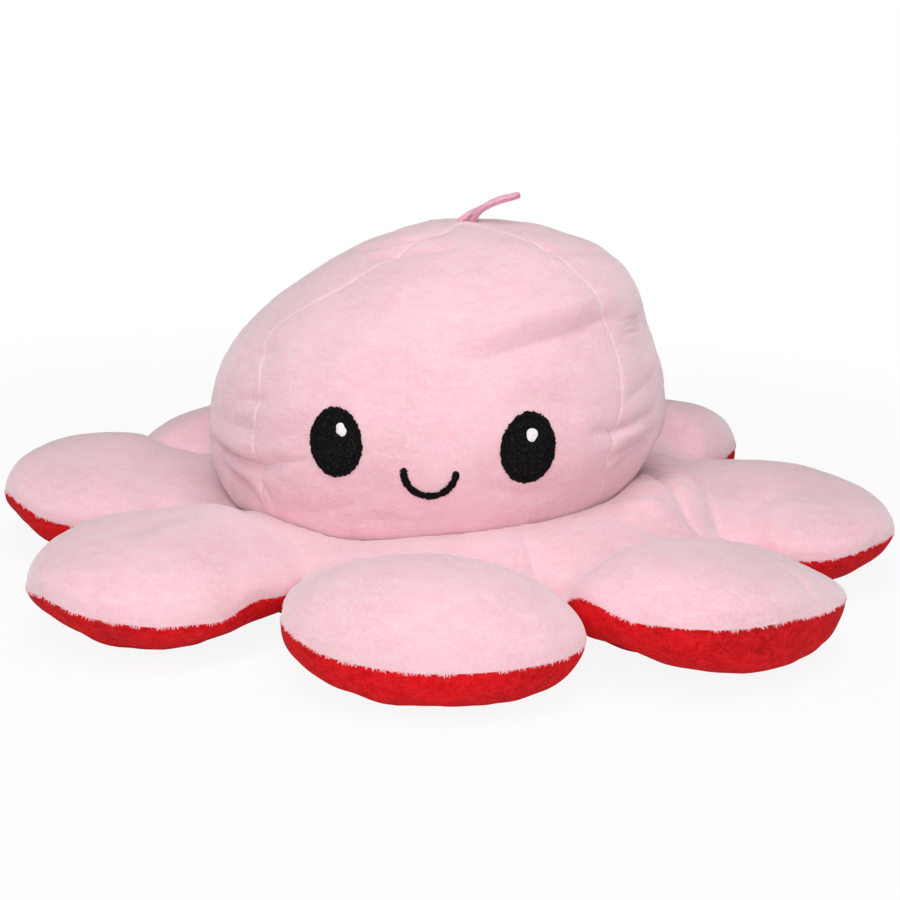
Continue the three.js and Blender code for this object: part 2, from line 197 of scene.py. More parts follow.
# A seam is a shallow groove, and its stitches show as a pale line that comes and goes
seam_depth = 0.5 * MM
seam_width = 1.1 * MM
stitch_line_width = 0.5 * MM
stitch_spacing = 2.2 * MM
# The filling bulges the cloth in broad and in small lumps: height and size
broad_lump, broad_lump_size = 0.9 * MM, 26 * MM
small_lump, small_lump_size = 0.5 * MM, 10 * MM
gathered_share = 0.05

head_normals = sheet_normals(head_points, True)
inward = np.zeros(head_points.shape[:-1])
for depth, width, places in head_creases:
    degrees, rise = smooth_route(places, 24).T
    route = head_point(degrees, rise)
    sharpness = crease_sharpness if depth > 0 else ridge_sharpness
    inward += depth * MM * near_route(head_points, route, width * MM, sharpness)
seam_columns = [i * panel_columns for i in range(4)]
head_seam_mark = np.zeros_like(inward)
for column in seam_columns:
    distance = np.linalg.norm(head_points - head_points[:, column : column + 1], axis=-1)
    inward += seam_depth * np.exp(-((distance / seam_width) ** 2))
    stitches = 0.6 + 0.6 * lumps(head_points[:, column : column + 1], stitch_spacing, column)
    line = stitches * np.exp(-((distance / stitch_line_width) ** 2))
    head_seam_mark = np.maximum(head_seam_mark, line)
inward += broad_lump * lumps(head_points, broad_lump_size)
inward += small_lump * lumps(head_points, small_lump_size, 5)
# The creases die out at the crown and at the neck, where the panels are gathered
inward *= np.clip(np.minimum(1 - head_rise, head_rise) / gathered_share, 0, 1)
head_points = head_points - inward[..., None] * head_normals


def sheet_mesh(points, mark=None):
    """A bmesh of rows and columns of points, with UVs, and a mark from 0 to 1 kept on each point."""
    rows, columns = points.shape[:2]
    mesh = bmesh.new()
    mesh.loops.layers.uv.new("UVMap")
    bmesh.ops.create_grid(
        mesh, x_segments=columns - 1, y_segments=rows - 1, size=0.5, calc_uvs=True
    )
    layer = mesh.verts.layers.float.new("mark")
    for vertex in mesh.verts:
        row = round((vertex.co.y + 0.5) * (rows - 1))
        column = round((vertex.co.x + 0.5) * (columns - 1))
        vertex.co = points[row, column]
        if mark is not None:
            vertex[layer] = mark[row, column]
    bmesh.ops.remove_doubles(mesh, verts=mesh.verts, dist=0.01 * MM)
    return mesh


def add_piece(name, mesh, material, thickness=0.0):
    """A named object from a bmesh. A sheet gets its thickness on the side that it faces away from."""
    data = bpy.data.meshes.new(name)
    mesh.to_mesh(data)
    mesh.free()
    data.materials.append(material)
    data.shade_smooth()
    piece = bpy.data.objects.new(name, data)
    bpy.context.collection.objects.link(piece)
    if thickness:
        wall = piece.modifiers.new("thickness", "SOLIDIFY")
        wall.thickness = thickness
        wall.offset = -1
        evaluated = piece.evaluated_get(bpy.context.evaluated_depsgraph_get())
        piece.data = bpy.data.meshes.new_from_object(evaluated)
        piece.modifiers.clear()
        piece.data.name = name
    piece.data.set_sharp_from_angle(angle=math.radians(60))
    return piece


def hex_colour(text):
    """Linear colour of an sRGB hex value."""
    channels = [int(text[i : i + 2], 16) / 255 for i in (0, 2, 4)]
    return [c / 12.92 if c <= 0.04045 else ((c + 0.055) / 1.055) ** 2.4 for c in channels] + [1]


def add_node(tree, kind, inputs=None, **settings):
    """A node with its settings. An input takes a value or another node's output."""
    node = tree.nodes.new(kind)
    for name, value in settings.items():
        setattr(node, name, value)
    for key, value in (inputs or {}).items():
        if isinstance(value, bpy.types.NodeSocket):
            tree.links.new(value, node.inputs[key])
        else:
            node.inputs[key].default_value = value
    return node


def new_material(name):
    material = bpy.data.materials.new(name)
    material.use_nodes = True
    material.node_tree.nodes.clear()
    return material


def pile_cloth(name, colours, grain_strength, streak_shape, sheen_weight, sheen_colour):
    """Velboa: knitted polyester with a brushed pile about 2 mm long. The pile lies in soft patches
    of two shades, with streaks of a paler one where it has been stroked, and a fine fibre grain. The
    line of a seam, where the pile parts and its pale roots show, is marked on the mesh."""
    deep, base, pale, root = (hex_colour(colour) for colour in colours)
    material = new_material(name)
    tree = material.node_tree
    place = add_node(tree, "ShaderNodeTexCoord").outputs["Object"]
    # Brushed patches about 30 mm across, with uneven edges
    patches = add_node(
        tree, "ShaderNodeTexNoise", {"Vector": place, "Scale": 34.0, "Detail": 5.0, "Roughness": 0.62}
    )
    patch_share = add_node(
        tree,
        "ShaderNodeMapRange",
        {"Value": patches.outputs[0], "From Min": 0.38, "From Max": 0.62},
        clamp=True,
    )
    shade = add_node(
        tree, "ShaderNodeMix", {0: patch_share.outputs[0], 6: deep, 7: base}, data_type="RGBA"
    )
    # Streaks about 2 mm by 7 mm, and fibre ends about 1 mm apart
    stretched = add_node(tree, "ShaderNodeMapping", {"Vector": place, "Scale": streak_shape})
    streaks = add_node(
        tree,
        "ShaderNodeTexNoise",
        {"Vector": stretched.outputs[0], "Scale": 150.0, "Detail": 4.0, "Roughness": 0.75},
    )
    fibres = add_node(
        tree, "ShaderNodeTexNoise", {"Vector": place, "Scale": 800.0, "Detail": 3.0, "Roughness": 0.8}
    )
    grain = add_node(
        tree, "ShaderNodeMath", {0: streaks.outputs[0], 1: fibres.outputs[0]}, operation="ADD"
    )
    grain_share = add_node(
        tree,
        "ShaderNodeMapRange",
        {"Value": grain.outputs[0], "From Min": 0.82, "From Max": 1.22, "To Max": grain_strength},
        clamp=True,
    )
    tipped = add_node(
        tree,
        "ShaderNodeMix",
        {0: grain_share.outputs[0], 6: shade.outputs[2], 7: pale},
        data_type="RGBA",
    )
    mark = add_node(tree, "ShaderNodeAttribute", attribute_name="mark")
    seam_share = add_node(
        tree, "ShaderNodeMath", {0: mark.outputs["Fac"], 1: 0.8}, operation="MULTIPLY"
    )
    colour = add_node(
        tree,
        "ShaderNodeMix",
        {0: seam_share.outputs[0], 6: tipped.outputs[2], 7: root},
        data_type="RGBA",
    )
    soft = add_node(
        tree, "ShaderNodeTexNoise", {"Vector": place, "Scale": 160.0, "Detail": 2.0, "Roughness": 0.5}
    )
    waves = add_node(
        tree,
        "ShaderNodeBump",
        {"Height": soft.outputs[0], "Strength": 0.3, "Distance": 0.0012},
    )
    nap = add_node(
        tree,
        "ShaderNodeBump",
        {"Height": grain.outputs[0], "Strength": 0.5, "Distance": 0.0006, "Normal": waves.outputs[0]},
    )
    shader = add_node(
        tree,
        "ShaderNodeBsdfPrincipled",
        {
            "Base Color": colour.outputs[2],
            "Normal": nap.outputs[0],
            "Roughness": 0.95,
            "Specular IOR Level": 0.1,
            "Sheen Weight": sheen_weight,
            "Sheen Roughness": 0.62,
            "Sheen Tint": hex_colour(sheen_colour),
        },
    )
    add_node(tree, "ShaderNodeOutputMaterial", {"Surface": shader.outputs[0]})
    return material


cloth_thickness = 1.3 * MM
# Deep, middle and pale shades, and the roots. The pink was brushed sideways, the red up and down.
pink_velboa = pile_cloth(
    "pink_velboa", ("EBB3BF", "F3BECA", "F3D2D8", "FBE4E8"), 0.7, (1.0, 1.0, 3.2), 0.7, "FFFFFF"
)
red_velboa = pile_cloth(
    "red_velboa", ("A8060D", "CE0811", "EC242C", "F02A30"), 0.7, (1.4, 1.4, 2.2), 0.06, "FF8080"
)

head_panels = []
for i, name in enumerate(panel_names):
    columns = np.arange(i * panel_columns, (i + 1) * panel_columns + 1) % head_points.shape[1]
    mesh = sheet_mesh(head_points[:, columns], head_seam_mark[:, columns])
    panel = add_piece(f"sewn_head_panel_{name}", mesh, pink_velboa, cloth_thickness)
    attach(panel, "head_and_skirt")
    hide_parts(f"head_panel_{name}", "head_filling")
    head_panels.append(panel)

# ---------------------------------------------------------------------------------------------
# Pocket. The red head lies inside out under the pink one: four gores of the red cloth that hang
# from the mouth in the underside, gathered into pleats where they are sewn to it.
# ---------------------------------------------------------------------------------------------
pocket_mouth = 52 * MM
pocket_foot = 4 * MM
pocket_top = 105 * MM
pocket_shape = 2.6
pleat_count = 22
pleat_depth = 1.6 * MM
pleat_reach = 0.22
pocket_seam_depth = 1.0 * MM
pocket_seam_share = 0.03
pocket_first_seam = -47

pocket_rows = np.linspace(0, 1, 90)[:, None]
panel_share = np.linspace(0, 1, 61)
for i, name in enumerate(panel_names):
    turn = np.radians(pocket_first_seam + 90 * (i + panel_share))
    reach = np.cos(pocket_rows * np.pi / 2) ** (2 / pocket_shape) * pocket_mouth
    height = np.sin(pocket_rows * np.pi / 2) ** (2 / pocket_shape) * (pocket_top - pocket_foot)
    near_mouth = np.exp(-((pocket_rows / pleat_reach) ** 2))
    pleats = pleat_depth * (0.5 + 0.5 * np.sin(pleat_count * turn)) * near_mouth
    to_seam = np.minimum(panel_share, 1 - panel_share)
    groove = pocket_seam_depth * np.exp(-((to_seam / pocket_seam_share) ** 2))
    # The groove stops short of the top, where the panels meet in a point
    reach = reach + pleats + groove * np.sin(pocket_rows * np.pi) * (reach > 8 * MM)
    points = np.stack(
        [reach * np.cos(turn), reach * np.sin(turn), pocket_foot + height + 0 * turn], -1
    )
    mesh = sheet_mesh(points[:, ::-1])
    lining = add_piece(f"sewn_lining_{name}", mesh, red_velboa, cloth_thickness)
    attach(lining, "head_and_skirt")
    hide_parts(f"lining_panel_{name}")

# ---------------------------------------------------------------------------------------------
# Skirt and arms. One pink star-shaped piece of cloth on top and a red one below, sewn together
# round the rim and stuffed. Each is drawn here in eight sectors, from the neck, or the mouth of
# the pocket, to the tip of an arm. A sector bends at the crease where its arm leaves the skirt.
# ---------------------------------------------------------------------------------------------
half_sector = math.pi / 8
root_radius = 127 * MM
neck_radius = 73 * MM
neck_height = 26.5 * MM
skirt_rise = 90 * MM
skirt_ring = 103 * MM
seam_height = 21 * MM
# How far the underside hangs under the seam: past the floor in the middle, less at the crease
under_swell = 2.5 * MM
under_root_rise = 3 * MM
skirt_edge_power = 1.5
floor_softness = 2 * MM
pocket_lip_height = 4 * MM
pocket_lip_width = 7 * MM

# Direction of each arm and its turn about the middle, in degrees. Then in mm: radius of the tip,
# half-width, skew to one side, radius and height of the crest, and height of the crease. Then the
# height of the rim in mm: twice up the side that comes first, at the tip, and twice back down the
# other side. Last, how square the top and the underside are across and along, from 0 for a box to
# 1 for a mound, and how much fuller the second side is than the middle.
arm_shapes = {
    "front": (
        (270, 1), (195.1, 56.5, 1.9, 157, 47.8, 33), (24.6, 21.4, 20, 20.5, 20.4),
        (0.58, 0.4), (0.37, 0.37), 0.03,
    ),
    "front_right": (
        (315, -3.5), (200.5, 61, 6, 150, 42.6, 34), (32, 29.2, 29, 23, 16),
        (0.59, 0.41), (0.39, 0.16), -0.23,
    ),
    "right": (
        (0, -3.8), (198.9, 53.9, -0.5, 145, 40.5, 37), (21.5, 24.6, 20.2, 19, 19.6),
        (0.37, 0.43), (0.55, 0.5), 0.1,
    ),
    "back_right": (
        (45, -1.4), (193.8, 56.8, 9.6, 143, 46.5, 34), (26, 26.5, 27.3, 18.6, 18.2),
        (0.65, 0.51), (0.25, 0.25), 0,
    ),
    "back": (
        (90, 0), (195, 53.5, 0, 149, 43, 33), (21, 21, 21, 21, 21),
        (0.4, 0.4), (0.45, 0.45), 0,
    ),
    "back_left": (
        (135, 5), (177, 53, 0, 145, 39, 33), (23.3, 23.3, 21, 18.7, 18.7),
        (0.4, 0.4), (0.45, 0.45), 0,
    ),
    "left": (
        (180, -1.5), (197, 53.7, 0, 149.6, 40.5, 35), (23.2, 23.1, 19.1, 27.9, 23.2),
        (0.42, 0.42), (0.45, 0.5), -0.11,
    ),
    "front_left": (
        (225, -0.5), (204.7, 53.3, 1.2, 156, 43.8, 43.2), (21, 19.8, 24.1, 20.7, 18.7),
        (0.43, 0.4), (0.61, 0.84), 0.06,
    ),
}
arm_names = list(arm_shapes)
# Height of the skirt round the head in mm, at every 22.5 degrees from the front to the right. The
# head leans on it and presses it down at the front left.
skirt_heights = [36.5, 39.5, 41, 46, 38, 34, 33, 33, 33, 33, 33, 32, 31, 29, 35, 31.5]
# Where the rim rises or sinks beside a notch: by how much, over what radius and round what place, in
# mm. The lift is full at the rim and fades out over and under it.
rim_lift_reach = 14 * MM
rim_lifts = {
    "front_left": [(4.5, 9, -66, -133), (-2, 9, -80, -146)],
    "front_right": [(3, 10, 48, -150), (-2.2, 10, 68, -163)],
}
# How far each notch between two arms is turned, in degrees, from 22.5 degrees on
notch_turns = np.array([2.7, 0, 0, 0, 2, -2, -3.5, -1.6])


def ease(share):
    share = np.clip(share, 0, 1)
    return (1 - np.cos(np.pi * share)) / 2


def fullness(across, power):
    return np.maximum(0, 1 - across**2) ** power


def round_toy(values, degrees):
    """A value that passes smoothly from one to the next of those given at even steps round the toy."""
    place = (degrees - 270) % 360 / 360 * len(values)
    step = np.floor(place).astype(int) % len(values)
    share = ease(place - np.floor(place))
    values = np.array(values)
    return values[step] * (1 - share) + values[(step + 1) % len(values)] * share


def sector_points(name, side, across, along):
    """Cloth of one sector. Across runs from -1 to 1, along from 0 over the skirt to 1 and over the
    arm to 2. The side is 1 for the top and -1 for the underside."""
    (direction, turn), sizes, rim, top_powers, under_powers, fuller = arm_shapes[name]
    tip, half, skew, crest_radius, crest, _ = (size * MM for size in sizes)
    power_across, power_along = top_powers if side > 0 else under_powers
    fuller = fuller if side > 0 else 0
    cross = np.sin(across * np.pi / 2)

    # The skirt, out to the crease
    out = np.clip(along, 0, 1)
    spread = (1 - out) * across + out * cross
    angle = np.arctan(spread * math.tan(half_sector))
    inner = neck_radius if side > 0 else pocket_mouth
    radius = inner + (root_radius / np.cos(angle) - inner) * out
    edge = ease((radius - skirt_ring) / (root_radius / np.cos(angle) - skirt_ring))
    power = 2 + (power_across - 2) * edge
    drawn = 1 - (1 - fullness(spread, power) * (1 + fuller * spread)) * edge**skirt_edge_power
    if side > 0:
        bearing = direction + np.degrees(angle)
        ring = round_toy(skirt_heights, bearing) * MM
        outer = round_toy([shape[1][5] for shape in arm_shapes.values()], bearing) * MM
        rise = ease((radius - neck_radius) / (skirt_rise - neck_radius))
        skirt_swell = neck_height + (ring - neck_height) * rise - (ring - outer) * edge - seam_height
        full, root = crest - seam_height, outer - seam_height
    else:
        full, root = seam_height + under_swell, seam_height - under_root_rise
        skirt_swell = full - (full - root) * edge
    skirt_swell = skirt_swell * drawn

    # The arm, from the crease over its crest to the tip
    start = -math.acos(root_radius * math.tan(half_sector) / half)
    stroke = start + (np.pi / 2 - start) * np.clip(along - 1, 0, 1)
    reach = np.where(stroke > 0, tip - crest_radius, (crest_radius - root_radius) / math.sin(-start))
    lean = skew * cross**2 * ease(1 - stroke / start * (stroke < 0))
    arm_swell = np.where(
        stroke > 0,
        full * np.maximum(0, np.cos(stroke)) ** (2 * power_along),
        full - (full - root) * ease(stroke / start),
    )
    arm_swell = arm_swell * fullness(cross, power_across) * (1 + fuller * cross)
    on_arm = along > 1
    x = np.where(on_arm, crest_radius + reach * np.sin(stroke), radius * np.cos(angle))
    y = np.where(on_arm, (half * cross + lean) * np.cos(stroke), radius * np.sin(angle))
    notch = seam_height / MM
    first_side, second_side = (
        smooth_through([notch, *heights], np.clip(along - 1, 0, 1)) * MM
        for heights in (rim[:3], rim[:1:-1])
    )
    seam = np.where(on_arm, first_side + (second_side - first_side) * (cross + 1) / 2, seam_height)
    z = seam + side * np.where(on_arm, arm_swell, skirt_swell)
    if side < 0:
        # The floor presses it flat, with a soft edge
        z = np.maximum(0, (z + np.sqrt(z**2 + floor_softness**2)) / 2 - 0.3 * MM)
        # Lip of the pocket
        lip = ease((pocket_mouth + pocket_lip_width - radius) / pocket_lip_width)
        z = z + pocket_lip_height * lip * ~on_arm

    # Each arm is turned a little from its even place, and so is each notch
    heading = np.radians(direction + turn * ease((x - root_radius) / (crest_radius - root_radius)))
    east, north = x * np.cos(heading) - y * np.sin(heading), x * np.sin(heading) + y * np.cos(heading)
    bearing, distance = np.arctan2(north, east), np.hypot(east, north)
    sector = ((np.degrees(bearing) - 22.5) % 360) / 45
    first = np.floor(sector).astype(int) % 8
    share = ease(sector - np.floor(sector))
    shift = notch_turns[first] * (1 - share) + notch_turns[(first + 1) % 8] * share
    bearing += np.radians(shift) * ease((distance - neck_radius) / (root_radius - neck_radius))
    east, north = distance * np.cos(bearing), distance * np.sin(bearing)
    near_seam = ease(1 - np.abs(z - seam) / rim_lift_reach) * ease((along - 1) / 0.1)
    for lift, wide, at_x, at_y in rim_lifts.get(name, []):
        gap = np.hypot(east - at_x * MM, north - at_y * MM) / (wide * MM)
        z = z + lift * MM * near_seam * np.exp(-(gap**2))
    return np.stack([east, north, z], -1)


# Creases in the pink top: depth, half-width and places, all in mm. A depth under zero is a ridge.
skirt_creases = [
    # Folds that fan out under the right side of the head
    (4.2, 2.4, [(89, 26), (93, 19), (99, 13), (105, 4), (110, -5), (112, -19), (114, -42), (115, -60)]),
    (-2.2, 4, [(94, 4), (99, -15), (104, -31), (107, -49), (110, -63)]),
    (4.0, 2.4, [(88, -6), (90, -17), (93, -34), (97, -51), (101, -62), (109, -72)]),
    (1.8, 2.4, [(77, -34), (81, -35), (87, -35), (96, -31)]),
    (-2.0, 6, [(64, -68), (78, -64), (90, -66), (101, -69)]),
    (2.4, 4, [(54, -90), (62, -84), (70, -79), (80, -80), (96, -79), (106, -74)]),
    (-1.5, 5, [(87, 38), (101, 42), (110, 39), (121, 32)]),
    (1.6, 4, [(86, 31), (100, 28), (112, 20), (125, 12)]),
    (1.3, 3.5, [(122, -52), (128, -45), (137, -34), (149, -28)]),
    (2.0, 2.2, [(122, -122), (129, -132), (132, -139), (135.5, -144.5), (139, -146.5)]),
    # Down to the notch at the right of the front arm
    (2.8, 3.5, [(29, -93), (31, -99), (33, -108), (35, -116), (38, -120), (42, -128)]),
    (1.6, 3, [(43, -91), (40, -95), (37, -102), (34, -109)]),
    (-1.4, 5, [(-34, -126), (-26, -130), (-16, -130), (-5, -136), (11, -141)]),
    # The left side
    (1.6, 5, [(-60, -98), (-48, -112), (-40, -128)]),
    (1.3, 4, [(-84, -122), (-78, -134), (-72, -146)]),
    (1.2, 6, [(-98, -96), (-112, -112), (-122, -130)]),
    (1.4, 5, [(-128, -40), (-112, -52), (-96, -68)]),
]


def add_top_creases(points):
    pressed = np.zeros(points.shape[:-1])
    for depth, width, places in skirt_creases:
        route = smooth_route(places, 20) * MM
        sharpness = crease_sharpness if depth > 0 else ridge_sharpness
        pressed += depth * MM * near_route(points[..., :2], route, width * MM, sharpness)
    # Nothing moves at the seam round the rim
    free = ease((points[..., 2] - seam_height) / (10 * MM))
    points[..., 2] -= pressed * free


# Rays up from the skirt find the underside of the head, which presses the skirt down
depsgraph = bpy.context.evaluated_depsgraph_get()
head_surfaces = [BVHTree.FromObject(panel, depsgraph) for panel in head_panels]
head_clearance = 0.8 * MM
head_reach = 112 * MM
head_overhang = 80 * MM


def press_under_head(points):
    for row in points:
        for point in row:
            if math.hypot(point[0], point[1]) > head_reach:
                continue
            start = Vector((point[0], point[1], 20 * MM))
            hits = [surface.ray_cast(start, Vector((0, 0, 1)))[0] for surface in head_surfaces]
            heights = [hit.z for hit in hits if hit is not None]
            if heights and min(heights) < head_overhang:
                point[2] = min(point[2], min(heights) - head_clearance)


arm_middle = 150 * MM
arm_radius = 55 * MM


def rim_puckers(points, name, size):
    """Small folds that run in square to the rim, where the cloth is gathered at the seam."""
    direction = math.radians(arm_shapes[name][0][0])
    middle = np.array([math.cos(direction), math.sin(direction)]) * arm_middle
    away = points[..., :2] - middle
    away = away / np.maximum(np.linalg.norm(away, axis=-1, keepdims=True), 1e-9) * arm_radius
    return lumps(np.concatenate([away, np.zeros_like(away[..., :1])], -1), size, 3)


# Dimples in the red side, under the rim: depth, half-width and places, all in mm. A depth under zero
# is a swelling.
rim_dimples = [
    (2.4, 4, [(89, -171, 28), (91, -170, 24), (93, -169, 20), (95, -168, 16)]),
    (1.6, 4, [(0, -195, 20), (2, -194, 14), (3, -192, 8)]),
    (1.4, 4, [(46, -128, 22), (50, -134, 16), (56, -140, 10)]),
    (5, 7.5, [(42, -126, 12), (50, -134, 10), (57, -140, 9), (64, -145, 8), (70, -149, 8)]),
    (-3.2, 7, [(-84, -150, 12), (-74, -140, 14), (-64, -131, 15), (-54, -121, 16), (-48, -115, 16)]),
    (2.0, 6, [(52, -158, 14), (46, -173, 14), (38, -181, 12), (28, -187, 10)]),
]
pucker_height = 0.6 * MM


def bend_with_arm(piece):
    """Bakes the piece's place into its mesh."""
    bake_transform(piece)


across_steps = np.linspace(-1, 1, 85)
along_steps = np.concatenate([np.linspace(0, 1, 40), np.linspace(1, 2, 71)[1:]])
across_grid, along_grid = np.meshgrid(across_steps, along_steps)
for name in arm_names:
    top = sector_points(name, 1, across_grid, along_grid)
    add_top_creases(top)
    free_edge = np.sqrt(fullness(across_grid, 1) * ease((2 - along_grid) / 0.3) * ease(along_grid / 0.3))
    # Broad and small lumps of filling, and puckers 9 mm apart in the lowest part of an arm
    swelling = 0.8 * MM * lumps(top, 30 * MM, 2) + 0.3 * MM * lumps(top, 10 * MM, 7)
    near_rim = ease((38 * MM - top[..., 2]) / (14 * MM)) * (along_grid > 1)
    swelling += pucker_height * rim_puckers(top, name, 9 * MM) * near_rim
    top = top - (swelling * free_edge)[..., None] * sheet_normals(top)
    press_under_head(top)
    mesh = sheet_mesh(top[:, ::-1])
    cover = add_piece(f"{name}_pink_cover", mesh, pink_velboa, cloth_thickness)
    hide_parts(f"{name}_arm_top", "skirt_top")
    bend_with_arm(cover)

    under = sector_points(name, -1, across_grid, along_grid)
    swelling = 0.7 * MM * lumps(under, 22 * MM, 4) + 0.3 * MM * lumps(under, 9 * MM, 9)
    swelling += pucker_height * rim_puckers(under, name, 11 * MM) * (along_grid > 1)
    for depth, width, places in rim_dimples:
        route = smooth_route(places, 8) * MM
        swelling -= depth * MM * near_route(under, route, width * MM, crease_sharpness)
    off_floor = ease(under[..., 2] / (4 * MM))
    under = under + (swelling * free_edge * off_floor)[..., None] * sheet_normals(under)
    mesh = sheet_mesh(under)
    cover = add_piece(f"{name}_red_cover", mesh, red_velboa, cloth_thickness)
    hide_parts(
        f"{name}_arm_underside", f"{name}_arm_filling", "skirt_underside", "skirt_filling"
    )
    bend_with_arm(cover)

# ---------------------------------------------------------------------------------------------
# Pile along the rim. Where the two cloths are sewn together the pink pile stands over the seam and
# hangs over the red in uneven tufts.
# ---------------------------------------------------------------------------------------------
tuft_gap = 0.42 * MM
tuft_length = 1.5 * MM
tuft_width = 0.38 * MM
tuft_rows = (0.1 * MM, 0.7 * MM)  # how far each row stands over the seam
tuft_inset = 0.35 * MM
clump_size = 2.6 * MM

for name in arm_names:
    rng = random.Random(name)
    there = sector_points(name, 1, np.full(400, -1.0), np.linspace(1.02, 2, 400))
    back = sector_points(name, 1, np.full(400, 1.0), np.linspace(2, 1.02, 400))
    rim = np.concatenate([there, back[1:]])
    walked = np.concatenate([[0], np.cumsum(np.linalg.norm(np.diff(rim, axis=0), axis=1))])
    mesh = bmesh.new()
    for row_lift in tuft_rows:
        for place in np.arange(tuft_gap, walked[-1] - tuft_gap, tuft_gap):
            place += rng.uniform(-0.5, 0.5) * tuft_gap
            base = Vector([np.interp(place, walked, axis) for axis in rim.T])
            ahead = Vector([np.interp(place + 0.5 * MM, walked, axis) for axis in rim.T])
            forward = (ahead - base).normalized()
            outward = forward.cross(Vector((0, 0, 1))).normalized()
            way = outward * rng.uniform(0.2, 0.7) + forward * rng.uniform(-0.9, 0.9)
            way = (way - Vector((0, 0, rng.uniform(0.7, 1.0)))).normalized()
            clump = noise.noise(base / clump_size)
            length = tuft_length * rng.uniform(0.7, 1.1) * (0.9 + 0.9 * clump)
            turned = way.to_track_quat("Z", "Y").to_matrix().to_4x4()
            middle = base + Vector((0, 0, row_lift)) - outward * tuft_inset + way * length / 2
            bmesh.ops.create_cone(
                mesh,
                cap_ends=True,
                segments=3,
                radius1=tuft_width,
                radius2=0,
                depth=length,
                matrix=Matrix.Translation(middle) @ turned,
            )
    pile = add_piece(f"{name}_rim_pile", mesh, pink_velboa)
    bend_with_arm(pile)

# ---------------------------------------------------------------------------------------------
# Eyes and smile. Embroidered on the front panel in black thread: a filled oval inside a raised
# satin-stitched border, with a small white highlight, and a satin-stitched line for the smile.
# ---------------------------------------------------------------------------------------------
front_surface = head_surfaces[panel_names.index("front")]


def face_hit(x, z):
    hit = front_surface.ray_cast(Vector((x, -200 * MM, z)), Vector((0, 1, 0)))[0]
    return np.array(hit)


def over_face(x, z, lift):
    """A point over the front panel, lifted square to the cloth."""
    across = face_hit(x + MM, z) - face_hit(x - MM, z)
    up = face_hit(x, z + MM) - face_hit(x, z - MM)
    outward = np.cross(across, up)
    return face_hit(x, z) + outward / np.linalg.norm(outward) * lift


def embroidery_thread(name, base, pale, fleck_share, sheen_weight):
    """Polyester embroidery thread, 0.4 mm thick, with a soft shine along each stitch. Here and there a
    stitch is painted in the second shade as a fleck; on the black thread these are painted glints."""
    material = new_material(name)
    tree = material.node_tree
    place = add_node(tree, "ShaderNodeTexCoord").outputs["Object"]
    flecks = add_node(
        tree, "ShaderNodeTexNoise", {"Vector": place, "Scale": 1300.0, "Detail": 2.0, "Roughness": 0.8}
    )
    fleck = add_node(
        tree,
        "ShaderNodeMapRange",
        {
            "Value": flecks.outputs[0],
            "From Min": 1 - fleck_share,
            "From Max": 1.1 - fleck_share,
            "To Max": 0.6,
        },
        clamp=True,
    )
    # The flecks are painted into the colour: on the black thread they are painted glints
    colour = add_node(
        tree,
        "ShaderNodeMix",
        {0: fleck.outputs[0], 6: hex_colour(base), 7: hex_colour(pale)},
        data_type="RGBA",
    )
    bump = add_node(
        tree, "ShaderNodeBump", {"Height": flecks.outputs[0], "Strength": 0.6, "Distance": 0.0004}
    )
    shader = add_node(
        tree,
        "ShaderNodeBsdfPrincipled",
        {
            "Base Color": colour.outputs[2],
            "Normal": bump.outputs[0],
            "Roughness": 0.6,
            "Specular IOR Level": 0.1,
            "Sheen Weight": sheen_weight,
            "Sheen Roughness": 0.4,
        },
    )
    add_node(tree, "ShaderNodeOutputMaterial", {"Surface": shader.outputs[0]})
    return material


# The paler second shade of the black threads is for painted glints
black_fill = embroidery_thread("black_fill_stitch", "030303", "34343A", 0.46, 0.0)
black_satin = embroidery_thread("black_satin_stitch", "040404", "1E1C1E", 0.5, 0.0)
white_satin = embroidery_thread("white_satin_stitch", "F4F1F1", "D9D4D6", 0.45, 0.1)

# Stitches are drawn 0.55 mm apart, wider than the real 0.4 mm, so that they show
thread_pitch = 0.55 * MM
thread_steps = 4
stitch_height = 1.1 * MM
stitch_sink = 0.15 * MM
stitch_unevenness = 0.36 * MM
section_steps = 14


def satin_band(middle, width, is_loop, rng):
    """A raised band of stitches laid side by side across a line of places on the face."""
    middle = np.array(middle)
    walked = np.concatenate([[0], np.cumsum(np.linalg.norm(np.diff(middle, axis=0), axis=1))])
    threads = int(walked[-1] / thread_pitch)
    steps = threads * thread_steps
    places = np.linspace(0, walked[-1], steps + 1)
    line = np.stack([np.interp(places, walked, axis) for axis in middle.T], -1)
    if is_loop:
        ahead = np.roll(line[:-1], -1, axis=0) - np.roll(line[:-1], 1, axis=0)
        ahead = np.concatenate([ahead, ahead[:1]])
    else:
        ahead = np.gradient(line, axis=0)
    ahead /= np.linalg.norm(ahead, axis=1, keepdims=True)
    side = np.stack([ahead[:, 1], -ahead[:, 0]], -1)
    jitter = [rng.uniform(-1, 1) * stitch_unevenness for _ in range(threads + 1)]
    rings = []
    for i, (place, out) in enumerate(zip(line, side)):
        thread = jitter[i // thread_steps % threads]
        ridge = math.sin(np.pi * (i % thread_steps) / thread_steps) ** 0.5
        end = 1.0
        if not is_loop:
            left = min(places[i], walked[-1] - places[i]) / (width / 2)
            end = math.sqrt(max(0.0, 1 - max(0.0, 1 - left) ** 2))
        ring = []
        for step in range(section_steps + 1):
            turn = math.tau * step / section_steps
            reach = (width / 2 + thread * (0.4 + 0.6 * ridge)) * end * math.cos(turn)
            height = stitch_height * (0.5 + 0.5 * math.sin(turn)) * (0.86 + 0.14 * ridge) * end
            ring.append(over_face(*(place + out * reach), height - stitch_sink))
        rings.append(ring)
    if is_loop:
        rings[-1] = rings[0]
    mesh = sheet_mesh(np.array(rings))
    bmesh.ops.recalc_face_normals(mesh, faces=mesh.faces)
    return mesh


